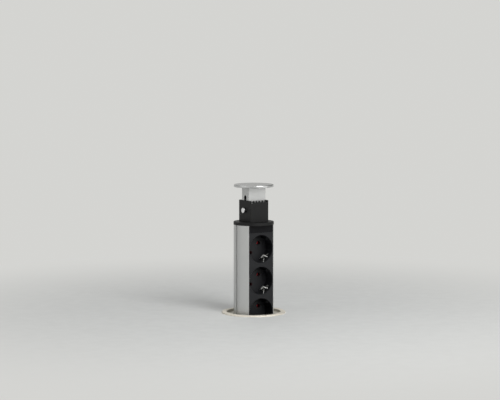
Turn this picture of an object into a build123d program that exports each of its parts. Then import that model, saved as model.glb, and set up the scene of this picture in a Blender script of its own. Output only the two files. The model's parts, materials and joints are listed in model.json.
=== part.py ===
from build123d import *
import math
import os

os.makedirs("parts", exist_ok=True)

# A pop up desk socket in its raised position. Millimetres, +Z up.
# The origin is the centre of the trim ring's underside, which rests on the worktop.
# The flat front with the sockets faces -Y, and the release button is on the -X side.

# Heights of what stands above the worktop
strip_top = 115.6              # top edge of the socket strip
socket_count = 3
header_height = 10.6           # blank panel between the strip and the cap
header_setback = 0.5
cap_thickness = 4.2
collar_height = 30.3
lid_rise = 18.7                # gap between the collar and the raised lid
disc_thickness = 3.6
lid_seat_gap = 0.5             # left between the lid and the collar when it is down
tail_length = 59.6             # body below the strip, inside the worktop

# Tower body, an extrusion
face_offset = 19.0             # from the axis to the flat front
lip_face = 0.52                # lip that shows beside the strip
profile_wall = 1.8
groove_width = 5.6             # guide groove down each side
groove_depth = 1.2
groove_backing = 1.5           # how far the wall behind a groove reaches past it
lip_back = 0.6                 # lip behind the strip's tongue
channel_radius = 3.0           # screw channels along the inside of the wall
channel_inset = 2.2            # from the inside of the wall to a channel's centre
channel_angles = (22.0, 68.0, 112.0, 158.0)

# Socket strip
strip_side = 0.2               # plate beside a cup
strip_end_wall = 2.95          # plate above the first cup and below the last
cup_spacing = 4.9              # plate between two cups
strip_gap = 0.2                # between the strip's edge and a lip
tongue_reach = 1.0             # the tongue along each edge sits in the lip's groove
tongue_thickness = 1.2
tongue_depth = 2.0             # from the face to the tongue
tongue_gap = 0.1

# One socket
well_margin = 7.0              # from a pin hole's edge to the well's wall
mouth_flare = 0.5
mouth_chamfer = 0.7
well_depth = 17.5
floor_thickness = 1.8
cup_wall = 0.65
pin_collar_length = 3.8        # behind the floor, round each pin hole
pin_collar_wall = 1.0
pin_spacing = 19.0
pin_hole_radius = 2.9
pin_axis_angle = 45.0
rib_reach = 1.6                # guide rib at each end of the pin axis
rib_width = 4.6
rib_start = 4.5                # from the face to a rib's end
pivot_radius = 1.5

# Shutter behind the pin holes
shutter_gap = 0.3
shutter_thickness = 1.4
shutter_cover = 0.6            # how far a blade reaches past the hole it covers
shutter_blade_width = 6.8
shutter_hub_radius = 4.2
shutter_bore_gap = 0.05
spring_ring_reach = 1.4        # radial height of the shutter's flat spring
spring_ring_thickness = 0.8

# Earth bridge, one bent sheet with a sprung clip at each end
bridge_thickness = 0.8
bridge_width = 7.0
clip_standoff = 1.9            # from the well's wall to the clip's inner face
clip_thickness = 0.7
clip_foot_width = 6.6
clip_foot_end = 15.4           # depths below the face
clip_fork = 12.4
clip_tip = 6.4
clip_arm_width = 1.9
clip_spread = 4.6              # sideways reach of each finger's tip
clip_slot_gap = 0.35
tab_width = 5.0

# Contact block, contact sleeves and rails
block_side = 6.78              # round the sleeves
block_inset = 8.0              # from the block's back to the inside of the body
block_rim_gap = 1.0            # round the shutter
block_clip_gap = 0.7
sleeve_radius = 3.5
sleeve_wall = 1.0
rail_depth = 3.2               # from the block's back to a rail's front
sleeve_gap = 0.4
sleeve_slit = 0.8
rail_width = 5.0
rail_thickness = 1.0
rail_gap = 0.4
rail_overhang = 4.0
earth_rail_gap = 0.3

# Top cap
cap_overhang = 0.3
cap_edge = 0.5
spigot_length = 7.0            # part of a cap that plugs into the body
spigot_wall = 1.8
spigot_gap = 0.15

# Neck collar and its comb
collar_side_wall = 0.75
collar_front_wall = 5.95
collar_corner = 0.7
comb_notches = 6
comb_margin = 0.4
comb_notch_width = 2.7
comb_notch_depth = 2.4
comb_first_notch_depth = 3.4
comb_wall = 1.2                # the toothed wall, with a trough behind it
comb_trough_depth = 4.4
collar_pocket_width = 10.0
collar_pocket_wall = 1.5
collar_roof = 2.2

# Lid
disc_inset = 0.2
disc_edge_radius = 1.3
disc_lower_edge = 0.4
column_width = 28.4
column_depth = 18.0
column_wall = 1.2
column_corner = 0.8
column_gap = 0.15
column_tail = 8.0              # column below the stem of the button
slot_side_gap = 0.9
slot_spare = 0.9               # left over the stem when the lid is down
plug_height = 8.0
plug_gap = 0.1

# Release button
button_height_share = 0.535    # of the collar's height
button_radius = 3.75
button_protrusion = 3.5
button_edge_radius = 0.5
button_travel = 1.1
stem_radius = 2.0
stem_gap = 0.2
shoe_height = 8.4
shoe_width = 10.0
shoe_thickness = 2.0
shoe_gap = 0.3
button_spring_wire = 0.3
button_spring_gap = 0.8        # from the stem to the wire's middle
button_spring_turns = 1.75
spring_samples = 24            # points along the coil where its gap is measured

# Trim ring in the worktop
flange_reach = 6.0             # past the neck
flange_thickness = 2.0
flange_edge_radius = 1.2
neck_wall = 1.0
mouth_edge_radius = 0.6
shelf_drop = 1.5               # finger recess below the worktop surface
shelf_thickness = 1.6
shelf_gap = 0.5                # round the cap as it passes the shelf
gasket_inner_margin = 1.9
gasket_outer_margin = 1.3
gasket_thickness = 0.8

# Mounting sleeve
sleeve_tube_wall = 2.5
sleeve_room = 8.2              # round the cap inside the sleeve
seat_drop = 6.0                # from the shelf to the sleeve's inner seat
seat_thickness = 2.0
seat_relief = 1.1              # how far the seat stands back from the shelf's edge
ring_boss_radius = 3.0
ring_boss_angles = (30.0, 150.0, 270.0)

# Guide bush and pads
bush_height = 21.0
bush_stop_gap = 0.4            # left under the cap when the lid is flush with the ring
slide_gap = 0.3
bush_inner_wall = 2.8
bush_outer_wall = 2.0
bush_roof = 4.0
bush_ribs = 12
bush_rib_width = 1.6
pad_angles = (38.0, 90.0, 142.0)
pad_half_angle = 9.0
pad_thickness = 1.8
pad_margin = 5.0

# Washer and clamp nut
worktop_thickness = 28.0
washer_thickness = 2.0
washer_width = 12.3
washer_gap = 0.4
nut_height = 12.0
nut_wall = 7.3
nut_lobe_radius = 6.0
nut_lobe_inset = 1.5
nut_lobes = 9
nut_gap = 0.3
nut_chamfer = 1.0

# Foot of the tower
stop_reach = 2.7
stop_thickness = 4.0
turret_room = 2.25             # round the gland's locknut
turret_wall = 2.2
turret_height = 14.0

# Cable gland
gland_bore_radius = 4.5
gland_thread_radius = 8.0
gland_hex = 20.0               # across flats
gland_flange = 4.0
gland_locknut = 3.0
gland_neck = 8.0
gland_nut_lip = 3.0
gland_nut_crown = 2.0
gland_seal_radius = 6.4
gland_clearance = 0.1

# Terminal block
terminal_width = 26.0
terminal_height = 22.0
terminal_lift = 16.0           # above the foot of the body
terminal_inset = 3.1           # behind the contact blocks' front
terminal_back_gap = 4.5        # to the inside of the body
terminal_entry_radius = 2.2
rail_entry = 9.0
post_radius = 3.0
wire_screw_radius = 2.0

# Screws
screw_radius = 1.3
screw_head_reach = 1.3
screw_head_height = 1.8
screw_clearance = 0.3
thread_clearance = 0.05
screw_length = 9.0
cap_screw_length = 14.0

overrun = 1.0                  # how far a cutting tool reaches past the surface it cuts

# Worked out from the sizes above
pin_offset = pin_spacing / 2
pin_x = pin_offset * math.cos(math.radians(pin_axis_angle))
pin_z = pin_offset * math.sin(math.radians(pin_axis_angle))
well_radius = pin_offset + pin_hole_radius + well_margin
mouth_radius = well_radius + mouth_flare
cup_radius = well_radius + cup_wall
cup_depth = well_depth + floor_thickness
strip_half = cup_radius + strip_side
plate_thickness = tongue_depth + tongue_thickness
lip_depth = plate_thickness + 2 * tongue_gap + lip_back
tower_radius = math.hypot(face_offset, strip_half + strip_gap + lip_face)
inner_radius = tower_radius - profile_wall

socket_pitch = 2 * cup_radius + cup_spacing
first_socket = strip_top - strip_end_wall - cup_radius
socket_heights = [first_socket - k * socket_pitch for k in range(socket_count)]
strip_bottom = socket_heights[-1] - cup_radius - strip_end_wall
body_bottom = strip_bottom - tail_length
cap_bottom = strip_top + header_height
cap_top = cap_bottom + cap_thickness
collar_top = cap_top + collar_height
disc_bottom = collar_top + lid_rise
disc_top = disc_bottom + disc_thickness

screw_head_radius = screw_radius + screw_head_reach
screw_hole_radius = screw_radius + screw_clearance
thread_hole_radius = screw_radius + thread_clearance
channel_circle = inner_radius - channel_inset
channel_places = [
    (channel_circle * math.cos(math.radians(a)), channel_circle * math.sin(math.radians(a)))
    for a in channel_angles
]

shutter_radius = pin_offset + pin_hole_radius + shutter_cover
collar_end = cup_depth + pin_collar_length
shutter_front = collar_end + shutter_gap
shutter_back = shutter_front + shutter_thickness
spring_front = shutter_back + shutter_gap
bridge_front = spring_front + spring_ring_thickness
bridge_back = bridge_front + bridge_thickness
clip_inner_radius = well_radius - clip_standoff
clip_outer_radius = clip_inner_radius + clip_thickness
block_half = pin_x + sleeve_radius + block_side
block_front = bridge_back - face_offset
block_back = inner_radius - block_inset
sleeve_back = block_back - rail_depth
earth_rail_front = block_back + earth_rail_gap

cap_radius = tower_radius + cap_overhang
disc_radius = tower_radius - disc_inset
collar_width = column_width + 2 * (column_gap + collar_side_wall)
collar_depth = column_depth + 2 * (column_gap + collar_front_wall)
comb_pitch = (collar_width - 2 * comb_margin) / comb_notches
button_height = cap_top + button_height_share * collar_height
button_crown = button_protrusion - button_travel - button_spring_turns * button_spring_wire
column_bottom = button_height - column_tail
lid_travel = lid_rise - lid_seat_gap
slot_width = 2 * (stem_radius + slot_side_gap)
slot_bottom = button_height - stem_radius - stem_gap
slot_top = slot_bottom + 2 * (stem_radius + stem_gap) + lid_travel + slot_spare

sleeve_bore = cap_radius + sleeve_room
neck_radius = sleeve_bore + sleeve_tube_wall
flange_radius = neck_radius + flange_reach
mouth_ring_radius = neck_radius - neck_wall
gasket_inner = neck_radius + gasket_inner_margin
gasket_outer = flange_radius - gasket_outer_margin
shelf_hole_radius = cap_radius + shelf_gap
shelf_top = -shelf_drop
shelf_bottom = shelf_top - shelf_thickness
seat_inner_radius = shelf_hole_radius + seat_relief
seat_top = shelf_bottom - seat_drop
ring_boss_circle = (seat_inner_radius + sleeve_bore) / 2
tower_travel = disc_top - lid_travel - flange_thickness
bush_top = cap_bottom - tower_travel - bush_stop_gap
bush_bottom = bush_top - bush_height
sleeve_bottom = bush_bottom
key_width = groove_width - 2 * slide_gap
bush_channel_inner = tower_radius + slide_gap + bush_inner_wall
bush_channel_outer = sleeve_bore - bush_outer_wall
clamp_bore = neck_radius + washer_gap
washer_top = -worktop_thickness
washer_radius = clamp_bore + washer_width
nut_top = washer_top - washer_thickness - nut_gap
nut_radius = clamp_bore + nut_wall

stop_radius = tower_radius + stop_reach
stop_bottom = body_bottom - stop_thickness
turret_bottom = stop_bottom - turret_height
hexagon_share = math.cos(math.radians(30))
turret_radius = gland_hex / 2 / hexagon_share + turret_room + turret_wall
terminal_front = block_front + terminal_inset
terminal_back = inner_radius - terminal_back_gap
terminal_bottom = body_bottom + terminal_lift
terminal_top = terminal_bottom + terminal_height
rail_bottom = terminal_top - rail_entry


def rod(radius, bottom, top, x=0, y=0):
    """A round bar along Z."""
    return Pos(x, y, bottom) * extrude(Circle(radius), top - bottom)


def ring(outer, inner, bottom, top):
    """A round tube along Z, centred on the tower's axis."""
    return Pos(0, 0, bottom) * extrude(Circle(outer) - Circle(inner), top - bottom)


def block(x_limits, y_limits, z_limits):
    """A box between two limits on each axis."""
    (x0, x1), (y0, y1), (z0, z1) = x_limits, y_limits, z_limits
    corner = (Align.MIN, Align.MIN, Align.MIN)
    return Pos(x0, y0, z0) * Box(x1 - x0, y1 - y0, z1 - z0, align=corner)


def sunk(sketch, height, near, far):
    """A sketch in the flat front, made solid between two depths behind the face."""
    return Pos(0, far - face_offset, height) * Rot(90, 0, 0) * extrude(sketch, far - near)


def joined(shapes):
    """One shape out of several that meet."""
    total = shapes[0]
    for shape in shapes[1:]:
        total += shape
    return total


def front_half(edge):
    """A sketch of all that lies in front of a line across the tower at y = -edge."""
    side = 4 * tower_radius
    return Pos(0, -edge) * Rectangle(side, side, align=(Align.CENTER, Align.MAX))


def bar_between(start, end, width):
    """A flat bar from one point of a sketch to another, with square ends."""
    run = math.dist(start, end)
    angle = math.degrees(math.atan2(end[1] - start[1], end[0] - start[0]))
    middle = ((start[0] + end[0]) / 2, (start[1] + end[1]) / 2)
    return Pos(*middle) * Rot(0, 0, angle) * Rectangle(run + width, width)


def pan_screw(length):
    """A screw with its head's underside at the origin and its shank along +Z."""
    return rod(screw_head_radius, -screw_head_height, 0) + rod(screw_radius, 0, length)


def flush_screw(length):
    """A countersunk screw with the top of its head at the origin, pointing down."""
    head = Pos(0, 0, -screw_head_height / 2) * Cone(
        screw_radius, screw_head_radius, screw_head_height
    )
    return head + rod(screw_radius, -length, -screw_head_height)


def body_void(gap=0):
    """A sketch of the space inside the extruded body, less a gap all round."""
    round_part = Circle(inner_radius - gap) - front_half(face_offset - lip_depth - gap)
    for x, y in channel_places:
        round_part -= Pos(x, y) * Circle(channel_radius + gap)
    for side in (-1, 1):
        reach = tower_radius - groove_depth - profile_wall - gap
        backing = groove_width + 2 * (groove_backing + gap)
        align = (Align.MIN if side > 0 else Align.MAX, Align.CENTER)
        round_part -= Pos(side * reach, 0) * Rectangle(tower_radius, backing, align=align)
    return round_part


def body_outline():
    """A sketch of the body's outside: a circle with a flat front and two side grooves."""
    outline = Circle(tower_radius) - front_half(face_offset)
    for side in (-1, 1):
        align = (Align.MIN if side > 0 else Align.MAX, Align.CENTER)
        place = Pos(side * (tower_radius - groove_depth), 0)
        outline -= place * Rectangle(tower_radius, groove_width, align=align)
    return outline


def tower_profile():
    """The extrusion: lips and grooves hold the strip, channels take the cap screws."""
    section = body_outline() - body_void()
    mouth_depth = lip_depth + overrun
    mouth = Rectangle(2 * (strip_half + strip_gap), 2 * mouth_depth)
    section -= Pos(0, -face_offset) * mouth
    tongue_room = tongue_thickness + 2 * tongue_gap
    groove = Rectangle(
        2 * (strip_half + tongue_reach + tongue_gap),
        tongue_room,
        align=(Align.CENTER, Align.MIN),
    )
    section -= Pos(0, tongue_depth - tongue_gap - face_offset) * groove
    for x, y in channel_places:
        section -= Pos(x, y) * Circle(thread_hole_radius)
    return Pos(0, 0, body_bottom) * extrude(section, cap_bottom - body_bottom)


def front_plate(bottom, top):
    """A plate that closes the flat front, with a tongue along each edge."""
    plate = block(
        (-strip_half, strip_half), (-face_offset, plate_thickness - face_offset), (bottom, top)
    )
    reach = strip_half + tongue_reach
    tongue_front = tongue_depth - face_offset
    tongues = block(
        (-reach, reach), (tongue_front, tongue_front + tongue_thickness), (bottom, top)
    )
    return plate + tongues


def guide_rib(side):
    """A sketch of the rib on the well's wall at one end of the pin axis."""
    reach = rib_reach + cup_wall / 2
    rib = Rectangle(reach, rib_width, align=(Align.MIN, Align.CENTER))
    return Rot(0, 0, pin_axis_angle + side) * Pos(well_radius - rib_reach, 0) * rib


def clip_slot(side):
    """A sketch of the slot in the well's floor that an earth clip comes through."""
    radial = clip_thickness + 3 * clip_slot_gap
    wide = clip_foot_width + 2 * clip_slot_gap
    slot = Rectangle(radial, wide)
    middle = clip_inner_radius + clip_thickness / 2 - clip_slot_gap / 2
    return Rot(0, 0, side - pin_axis_angle) * Pos(middle, 0) * slot


def pin_holes(radius):
    """A sketch of the two round holes of a socket."""
    return joined([Pos(s * pin_x, s * pin_z) * Circle(radius) for s in (-1, 1)])


def socket_strip():
    """The moulded strip: plate, round wells, guide ribs, collared pin holes, shutter pivots."""
    strip = front_plate(strip_bottom, strip_top)
    for height in socket_heights:
        strip += sunk(Circle(cup_radius), height, 0, cup_depth)
    for height in socket_heights:
        strip -= sunk(Circle(well_radius), height, -overrun, well_depth)
        funnel = Cone(
            well_radius, mouth_radius, mouth_chamfer,
            align=(Align.CENTER, Align.CENTER, Align.MIN),
        )
        strip -= Pos(0, mouth_chamfer - face_offset, height) * Rot(90, 0, 0) * funnel
        for side in (0, 180):
            strip += sunk(guide_rib(side), height, rib_start, well_depth)
            strip -= sunk(clip_slot(side), height, well_depth - overrun, cup_depth + overrun)
        strip += sunk(pin_holes(pin_hole_radius + pin_collar_wall), height, cup_depth, collar_end)
        strip -= sunk(pin_holes(pin_hole_radius), height, well_depth - overrun, collar_end + overrun)
        pivot_end = spring_front + spring_ring_thickness / 2
        strip += sunk(Circle(pivot_radius), height, cup_depth - overrun, pivot_end)
    return strip


def shutter(height):
    """A two-bladed rotor that covers both pin holes until it is turned aside."""
    blades = Rot(0, 0, pin_axis_angle) * Rectangle(2 * shutter_radius, shutter_blade_width)
    rotor = (blades & Circle(shutter_radius)) + Circle(shutter_hub_radius)
    rotor -= Circle(pivot_radius + shutter_bore_gap)
    return sunk(rotor, height, shutter_front, shutter_back)


def shutter_spring(height):
    """The flat torsion spring round the shutter's pivot."""
    inner = pivot_radius + tongue_gap
    coil = Circle(inner + spring_ring_reach) - Circle(inner)
    return sunk(coil, height, spring_front, bridge_front)


def earth_clip(side):
    """One sprung clip: a foot through the floor, a stem and two spread fingers."""
    foot = Pos(0, -(bridge_front + clip_foot_end) / 2) * Rectangle(
        clip_foot_width, bridge_front - clip_foot_end
    )
    outline = foot + bar_between((0, -clip_foot_end), (0, -clip_fork), clip_arm_width)
    for lean in (-1, 1):
        tip = (lean * clip_spread, -clip_tip)
        outline += bar_between((0, -clip_fork), tip, clip_arm_width)
    sheet = Plane.YZ * outline
    blank = extrude(sheet, clip_outer_radius + overrun)
    shell_bottom = -bridge_back
    shell = ring(clip_outer_radius, clip_inner_radius, shell_bottom, 0)
    return Rot(0, 0, side - pin_axis_angle) * (blank & shell)


def earth_bridge(height):
    """The earth contact of one socket: a bar behind the floor, two clips and a tab."""
    bar = Rot(0, 0, -pin_axis_angle) * Rectangle(2 * clip_outer_radius, bridge_width)
    bar = bar & Circle(clip_outer_radius)
    bridge = sunk(bar, height, bridge_front, bridge_back)
    for side in (0, 180):
        bridge += Pos(0, -face_offset, height) * Rot(90, 0, 0) * earth_clip(side)
    tab = block(
        (-tab_width / 2, tab_width / 2),
        (block_front - bridge_thickness, earth_rail_front),
        (height - bridge_thickness / 2, height + bridge_thickness / 2),
    )
    return bridge + tab


def contact_block(height):
    """The moulded block that carries a socket's contacts and keeps its shutter in."""
    low, high = height - block_half, height + block_half
    body = block((-block_half, block_half), (block_front, block_back), (low, high))
    rim = Circle(clip_inner_radius - block_clip_gap) - Circle(shutter_radius + block_rim_gap)
    rim -= Rot(0, 0, -pin_axis_angle) * Rectangle(
        4 * clip_outer_radius, bridge_width + 2 * rail_gap
    )
    body += sunk(rim, height, cup_depth, bridge_back + overrun)
    holes = pin_holes(sleeve_radius + sleeve_gap)
    body -= sunk(holes, height, bridge_back - overrun, sleeve_back + face_offset)
    for x in (-pin_x, pin_x):
        half = rail_width / 2 + rail_gap
        body -= block(
            (x - half, x + half),
            (sleeve_back - rail_gap, block_back + overrun),
            (low - overrun, high + overrun),
        )
    body -= block(
        (-(tab_width / 2 + tongue_gap), tab_width / 2 + tongue_gap),
        (block_front - overrun, block_back + overrun),
        (height - bridge_thickness, height + bridge_thickness),
    )
    return body


def contact_rail(side):
    """A bus rail with a slit sleeve behind one pin hole of each socket."""
    x = side * pin_x
    top = socket_heights[0] + side * pin_z + rail_overhang
    rail = block(
        (x - rail_width / 2, x + rail_width / 2),
        (sleeve_back, sleeve_back + rail_thickness),
        (rail_bottom, top),
    )
    front = bridge_back + sleeve_gap
    for height in socket_heights:
        centre = Pos(x, side * pin_z)
        tube = centre * (Circle(sleeve_radius) - Circle(sleeve_radius - sleeve_wall))
        tube -= centre * Rectangle(4 * sleeve_radius, sleeve_slit)
        back = sleeve_back + face_offset
        rail += sunk(tube, height, front, back)
    return rail


def earth_rail():
    """The rail behind the contact blocks that joins the three earth bridges."""
    top = socket_heights[0] + rail_overhang
    return block(
        (-rail_width / 2, rail_width / 2),
        (earth_rail_front, earth_rail_front + rail_thickness),
        (rail_bottom, top),
    )


def spigot(bottom, top):
    """The wall of a cap that plugs into the body, clear of its channels and lips."""
    wall = body_void(spigot_gap) - Circle(inner_radius - spigot_wall)
    return Pos(0, 0, bottom) * extrude(wall, top - bottom)


def column_passage(bottom, top):
    """The rectangular hole that the lid column slides in."""
    passage = Rectangle(column_width + 2 * column_gap, column_depth + 2 * column_gap)
    return Pos(0, 0, bottom) * extrude(passage, top - bottom)


def neck_screw_places():
    """Centres of the four screws in the thick front and back walls of the collar."""
    wall_middle = (column_depth / 2 + column_gap + collar_depth / 2) / 2
    side = collar_pocket_width / 2 + screw_head_radius + collar_pocket_wall
    return [(sx * side, sy * wall_middle) for sx in (-1, 1) for sy in (-1, 1)]


def top_cap():
    """Flange, blank header over the strip and a spigot inside the body."""
    flange = rod(cap_radius, cap_bottom, cap_top)
    flange = chamfer(flange.edges().sort_by(Axis.Z)[-1], cap_edge)
    cap = flange + spigot(cap_bottom - spigot_length, cap_bottom)
    cap += front_plate(strip_top, cap_bottom)
    cap -= block(
        (-tower_radius, tower_radius), (-tower_radius, header_setback - face_offset),
        (strip_top - overrun, cap_bottom),
    )
    cap -= column_passage(cap_bottom - overrun, cap_top + overrun)
    for x, y in channel_places:
        cap -= rod(screw_hole_radius, cap_bottom - overrun, cap_top + overrun, x, y)
        sink = Cone(screw_radius, screw_head_radius, screw_head_height)
        cap -= Pos(x, y, cap_top - screw_head_height / 2) * sink
    for x, y in neck_screw_places():
        cap -= rod(screw_hole_radius, cap_bottom - overrun, cap_top + overrun, x, y)
    return cap


def comb_notch(index):
    """One notch in the collar's front top edge. The first is deeper."""
    x = (index - (comb_notches - 1) / 2) * comb_pitch
    depth = comb_first_notch_depth if index == 0 else comb_notch_depth
    half = comb_notch_width / 2
    front = -collar_depth / 2 - overrun
    return block((x - half, x + half), (front, 0), (collar_top - depth, collar_top + overrun))


def neck_collar():
    """The square neck: a passage for the column, a comb edge and the button's hole."""
    outline = RectangleRounded(collar_width, collar_depth, collar_corner)
    collar = Pos(0, 0, cap_top) * extrude(outline, collar_height)
    trough_half = column_width / 2 + column_gap
    trough_front = -(collar_depth / 2 - comb_wall)
    collar -= block(
        (-trough_half, trough_half), (trough_front, 0),
        (collar_top - comb_trough_depth, collar_top + overrun),
    )
    for index in range(comb_notches):
        collar -= comb_notch(index)
    collar -= column_passage(cap_top - overrun, collar_top + overrun)
    near = column_depth / 2 + column_gap + collar_pocket_wall
    far = collar_depth / 2 - collar_pocket_wall
    half = collar_pocket_width / 2
    roof = collar_top - comb_trough_depth - collar_roof
    for y_limits in ((near, far), (-far, -near)):
        collar -= block((-half, half), y_limits, (cap_top - overrun, roof))
    hole = Plane.YZ * Circle(stem_radius + stem_gap)
    collar -= Pos(0, 0, button_height) * extrude(hole, -collar_width)
    for x, y in neck_screw_places():
        collar -= rod(thread_hole_radius, cap_top - overrun, cap_top + screw_length, x, y)
    return collar


def lid_disc():
    """The round lid, with a rounded rim on top and pilot holes for its screws below."""
    disc = rod(disc_radius, disc_bottom, disc_top)
    edges = disc.edges().sort_by(Axis.Z)
    disc = fillet(edges[-1], disc_edge_radius)
    disc = chamfer(disc.edges().sort_by(Axis.Z)[0], disc_lower_edge)
    for x in lid_screw_places():
        disc -= rod(thread_hole_radius, disc_bottom - overrun, disc_bottom + disc_thickness / 2, x)
    return disc


def lid_screw_places():
    """How far the two lid screws stand to either side of the axis."""
    return (-column_width / 4, column_width / 4)


def lid_column():
    """The rectangular tube under the lid, slotted on the side where the button is."""
    outside = RectangleRounded(column_width, column_depth, column_corner)
    inside = Rectangle(column_width - 2 * column_wall, column_depth - 2 * column_wall)
    column = Pos(0, 0, column_bottom) * extrude(outside - inside, disc_bottom - column_bottom)
    height = slot_top - slot_bottom
    slot = SlotOverall(height, slot_width, rotation=90)
    tool = extrude(Plane.YZ * slot, -column_width)
    return column - Pos(0, 0, (slot_top + slot_bottom) / 2) * tool


def lid_plug():
    """The moulded plug that fills the column's top end and takes the lid screws."""
    plug = Rectangle(
        column_width - 2 * (column_wall + plug_gap), column_depth - 2 * (column_wall + plug_gap)
    )
    for x in lid_screw_places():
        plug -= Pos(x, 0) * Circle(screw_hole_radius)
    plug -= Circle(column_width / 4 - screw_head_radius - column_wall)
    return Pos(0, 0, disc_bottom - plug_height) * extrude(plug, plug_height)


def lid_screws():
    """The two screws through the plug into the lid."""
    length = plug_height + disc_thickness / 2 - disc_lower_edge
    return [Pos(x, 0, disc_bottom - plug_height) * pan_screw(length) for x in lid_screw_places()]


def release_button():
    """The button's crown and the stem that passes through the collar and the slot."""
    face = -(collar_width / 2 + button_protrusion)
    crown = extrude(Plane.YZ * Circle(button_radius), button_crown)
    crown = fillet(crown.edges().sort_by(Axis.X)[0], button_edge_radius)
    stem_end = -(column_width / 2 - column_wall - shoe_gap)
    stem = extrude(Plane.YZ * Circle(stem_radius), stem_end - face)
    return Pos(face, 0, button_height) * (crown + stem)


def lock_shoe():
    """The plate on the stem's inner end that clamps the column against the collar."""
    front = -(column_width / 2 - column_wall - shoe_gap)
    shoe = block(
        (front, front + shoe_thickness),
        (-shoe_width / 2, shoe_width / 2),
        (button_height - shoe_height / 2, button_height + shoe_height / 2),
    )
    along_x = shoe.edges().filter_by(Axis.X)
    return fillet(along_x, button_edge_radius)


def button_spring():
    """The coil round the stem, between the collar and the crown."""
    room = button_protrusion - button_crown - button_spring_wire
    pitch = room / button_spring_turns
    path = Helix(pitch, room, stem_radius + button_spring_gap)
    start = Plane(path @ 0, z_dir=path % 0)
    coil = sweep(start * RegularPolygon(button_spring_wire / 2, 6), path=path)
    one_turn = 1 / button_spring_turns
    samples = [k * (1 - one_turn) / spring_samples for k in range(spring_samples + 1)]
    apart = min((path @ (u + one_turn) - path @ u).length for u in samples)
    print(f"Least gap of the button spring to itself: {apart - button_spring_wire:.2f} mm")
    foot = -(collar_width / 2) - button_spring_wire / 2
    return Pos(foot, 0, button_height) * Rot(0, -90, 0) * coil


def trim_ring():
    """The visible ring: rounded flange, mouth wall, recessed shelf and three bosses."""
    outline = Polyline(
        (shelf_hole_radius, shelf_bottom), (neck_radius, shelf_bottom), (neck_radius, 0),
        (flange_radius, 0), (flange_radius, flange_thickness),
        (mouth_ring_radius, flange_thickness), (mouth_ring_radius, shelf_top),
        (shelf_hole_radius, shelf_top), close=True,
    )
    body = revolve(Plane.XZ * make_face(outline), Axis.Z)
    top_edges = body.edges().filter_by_position(
        Axis.Z, flange_thickness, flange_thickness
    ).sort_by(SortBy.RADIUS)
    body = fillet(top_edges[-1], flange_edge_radius)
    mouth = body.edges().filter_by(GeomType.CIRCLE).filter_by_position(
        Axis.Z, flange_thickness, flange_thickness
    ).sort_by(SortBy.RADIUS)[0]
    body = fillet(mouth, mouth_edge_radius)
    body -= ring(gasket_outer, gasket_inner, -overrun, gasket_thickness)
    for angle in ring_boss_angles:
        place = Rot(0, 0, angle) * Pos(ring_boss_circle, 0)
        body += place * rod(ring_boss_radius, seat_top, shelf_bottom)
        body -= place * rod(thread_hole_radius, seat_top - overrun, shelf_bottom)
    return body


def flange_gasket():
    """The foam ring in the flange's underside."""
    return ring(gasket_outer, gasket_inner, 0, gasket_thickness)


def mounting_sleeve():
    """The tube through the worktop, with an inner seat under the ring's bosses."""
    sleeve = ring(neck_radius, sleeve_bore, sleeve_bottom, shelf_bottom)
    sleeve += ring(neck_radius, seat_inner_radius, seat_top - seat_thickness, seat_top)
    for angle in ring_boss_angles:
        place = Rot(0, 0, angle) * Pos(ring_boss_circle, 0)
        low = seat_top - seat_thickness - overrun
        sleeve -= place * rod(screw_hole_radius, low, seat_top + overrun)
    return sleeve


def sleeve_screws():
    """The three screws that hold the sleeve to the ring."""
    length = seat_thickness + seat_drop - button_edge_radius
    screw = pan_screw(length)
    height = seat_top - seat_thickness
    return [Rot(0, 0, a) * Pos(ring_boss_circle, 0, height) * screw for a in ring_boss_angles]


def pad_sector(angle, inner, outer, bottom, top):
    """A piece of a tube's wall, one pad wide, at an angle round the tower."""
    reach = 2 * outer
    spread = math.radians(pad_half_angle)
    wedge = Polygon(
        (0, 0), (reach * math.cos(spread), reach * math.sin(spread)),
        (reach * math.cos(spread), -reach * math.sin(spread)), align=None,
    )
    section = (Circle(outer) - Circle(inner)) & (Rot(0, 0, angle) * wedge)
    return Pos(0, 0, bottom) * extrude(section, top - bottom)


def guide_bush():
    """The bush in the sleeve's foot: bore, two keys, ribbed channel and pad pockets."""
    bore = Circle(tower_radius + slide_gap) - front_half(face_offset + slide_gap)
    for side in (-1, 1):
        reach = tower_radius - groove_depth + slide_gap
        align = (Align.MIN if side > 0 else Align.MAX, Align.CENTER)
        bore -= Pos(side * reach, 0) * Rectangle(tower_radius, key_width, align=align)
    bush = Pos(0, 0, bush_bottom) * extrude(Circle(sleeve_bore) - bore, bush_height)
    channel = Circle(bush_channel_outer) - Circle(bush_channel_inner)
    for k in range(bush_ribs):
        rib = Rectangle(sleeve_bore, bush_rib_width, align=(Align.MIN, Align.CENTER))
        channel -= Rot(0, 0, (k + 0.5) * 360 / bush_ribs) * rib
    depth = bush_height - bush_roof + overrun
    bush -= Pos(0, 0, bush_bottom - overrun) * extrude(channel, depth)
    for angle in pad_angles:
        bush -= friction_pad(angle)
    return bush


def friction_pad(angle):
    """One rubbing pad, set in the bore of the bush."""
    inner = tower_radius + slide_gap
    low, high = bush_bottom + pad_margin, bush_top - pad_margin
    return pad_sector(angle, inner, inner + pad_thickness, low, high)


def thrust_washer():
    """The washer between the worktop and the nut."""
    washer = ring(washer_radius, clamp_bore, washer_top - washer_thickness, washer_top)
    rims = washer.edges().filter_by(GeomType.CIRCLE).sort_by(SortBy.RADIUS)[-2:]
    return chamfer(rims, washer_thickness / 4)


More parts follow.
